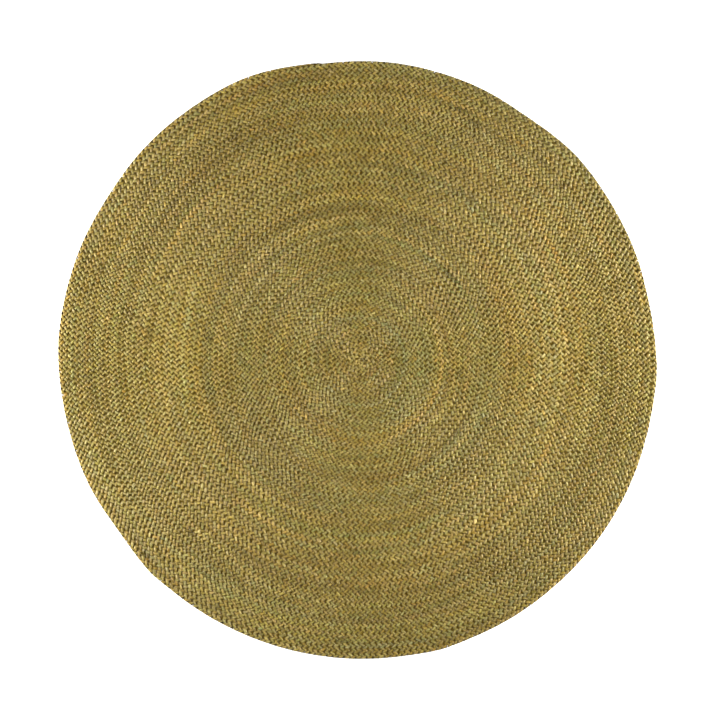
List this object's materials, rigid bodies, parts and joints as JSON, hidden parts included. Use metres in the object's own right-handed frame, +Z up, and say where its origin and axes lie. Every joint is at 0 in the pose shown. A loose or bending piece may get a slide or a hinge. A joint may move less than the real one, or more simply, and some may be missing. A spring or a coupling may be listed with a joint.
{
  "type": "round jute rug",
  "caption": "Round flat rug of one three-strand jute plait, coiled from the middle to the rim and sewn edge to edge, lying flat on its whole underside.",
  "frame": {"origin": "middle of the outline's box, on the flat underside", "axes": "+Z up from the floor, through the rug's face; +Y towards the top of the picture, which is taken from straight above; +X towards its right"},
  "size_m": [1.5018, 1.4984, 0.008],
  "materials": {
    "jute": "dry plaited plant fibre in olive gold, with a slight sheen along the fibres"
  },
  "bodies": {
    "root": {"braided_rug": "jute"}
  },
  "joints": []
}
